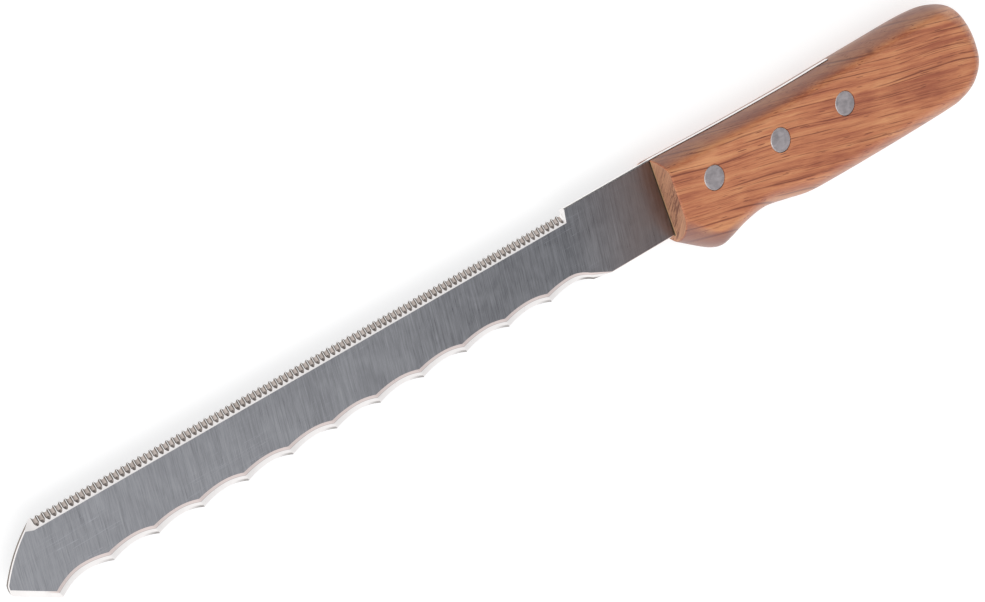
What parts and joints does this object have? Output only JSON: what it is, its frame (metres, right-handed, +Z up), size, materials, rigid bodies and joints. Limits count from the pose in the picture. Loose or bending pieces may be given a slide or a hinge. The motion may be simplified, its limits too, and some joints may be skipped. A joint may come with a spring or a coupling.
{
  "type": "uncapping knife",
  "caption": "Long straight knife for uncapping honeycomb: scalloped cutting edge, fine saw back, ground tip and a riveted hardwood handle with a finger groove.",
  "frame": {"origin": "centre of the footprint at the level of the handle's lower flat side", "axes": "+X from the tip to the butt, +Y from the scalloped edge to the saw back, +Z up through the thickness, out of the side on which the edges are ground"},
  "size_m": [0.396, 0.0384, 0.02],
  "materials": {
    "blade_steel": "satin, finely ground across the blade",
    "handle_wood": "satin lacquer",
    "rivet_metal": "satin, sanded flush"
  },
  "bodies": {
    "root": {"blade": "blade_steel", "handle": "handle_wood", "rivet_socket_front": "rivet_metal", "rivet_socket_middle": "rivet_metal", "rivet_socket_rear": "rivet_metal", "rivet_stud_front": "rivet_metal", "rivet_stud_middle": "rivet_metal", "rivet_stud_rear": "rivet_metal"}
  },
  "joints": []
}
